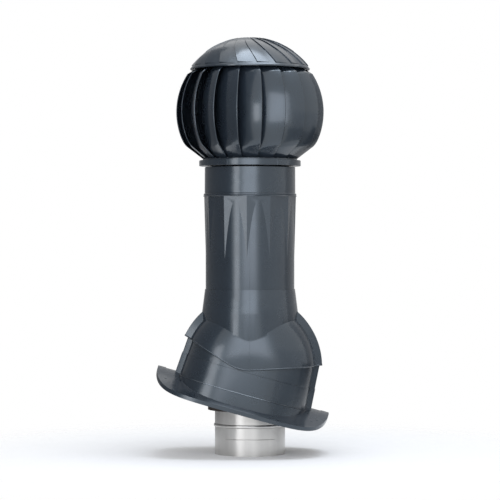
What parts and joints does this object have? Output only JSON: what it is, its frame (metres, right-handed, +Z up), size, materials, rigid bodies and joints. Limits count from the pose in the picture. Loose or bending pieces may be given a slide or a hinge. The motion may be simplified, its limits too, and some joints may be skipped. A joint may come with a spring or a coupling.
{
  "type": "roof vent outlet with wind turbine head",
  "caption": "Insulated roof vent pipe with a wind-turned vane head on top and a pitch-adjustable arched flange below.",
  "frame": {"origin": "centre of the inner pipe's lower end", "axes": "+Z up along the pipe, +X down the roof slope, -Y to the viewer of the picture"},
  "size_m": [0.3057, 0.2616, 0.7412],
  "materials": {
    "graphite_plastic": "glossy",
    "galvanised": "satin",
    "insulation": "matt foam",
    "seal_rubber": "matt",
    "bright_steel": "bright",
    "bearing_steel": "polished"
  },
  "bodies": {
    "stack": {"inner_pipe": "galvanised", "insulation_sleeve": "insulation", "centring_ring": "seal_rubber", "outer_pipe_with_hood": "graphite_plastic", "collar": "graphite_plastic", "spindle": "bright_steel", "spindle_nuts": "bright_steel", "spindle_washers": "bright_steel", "lower_spacer": "bright_steel", "spacer_tube": "bright_steel", "lower_bearing_inner_race": "bearing_steel", "upper_bearing_inner_race": "bearing_steel", "lower_bearing_balls": "bearing_steel", "upper_bearing_balls": "bearing_steel"},
    "turbine": {"rotor_ring": "graphite_plastic", "upper_vane_ring": "graphite_plastic", "lower_bearing_outer_race": "bearing_steel", "upper_bearing_outer_race": "bearing_steel", "vane_01": "graphite_plastic", "vane_02": "graphite_plastic", "vane_03": "graphite_plastic", "vane_04": "graphite_plastic", "vane_05": "graphite_plastic", "vane_06": "graphite_plastic", "vane_07": "graphite_plastic", "vane_08": "graphite_plastic", "vane_09": "graphite_plastic", "vane_10": "graphite_plastic", "vane_11": "graphite_plastic", "vane_12": "graphite_plastic", "vane_13": "graphite_plastic", "vane_14": "graphite_plastic", "vane_15": "graphite_plastic", "vane_16": "graphite_plastic", "vane_17": "graphite_plastic", "vane_18": "graphite_plastic", "vane_19": "graphite_plastic", "cap": "graphite_plastic", "cap_screws": "bright_steel"},
    "base": {"roof_base": "graphite_plastic"}
  },
  "joints": [
    {"name": "turbine_spin", "type": "hinge", "parent": "stack", "child": "turbine", "pos_m": [0, 0, 0.608], "axis": [0, 0, 1], "continuous": true},
    {"name": "roof_pitch", "type": "hinge", "parent": "stack", "child": "base", "pos_m": [0, 0, 0.1567], "axis": [0, 1, 0], "range_deg": [-10, 10]}
  ]
}
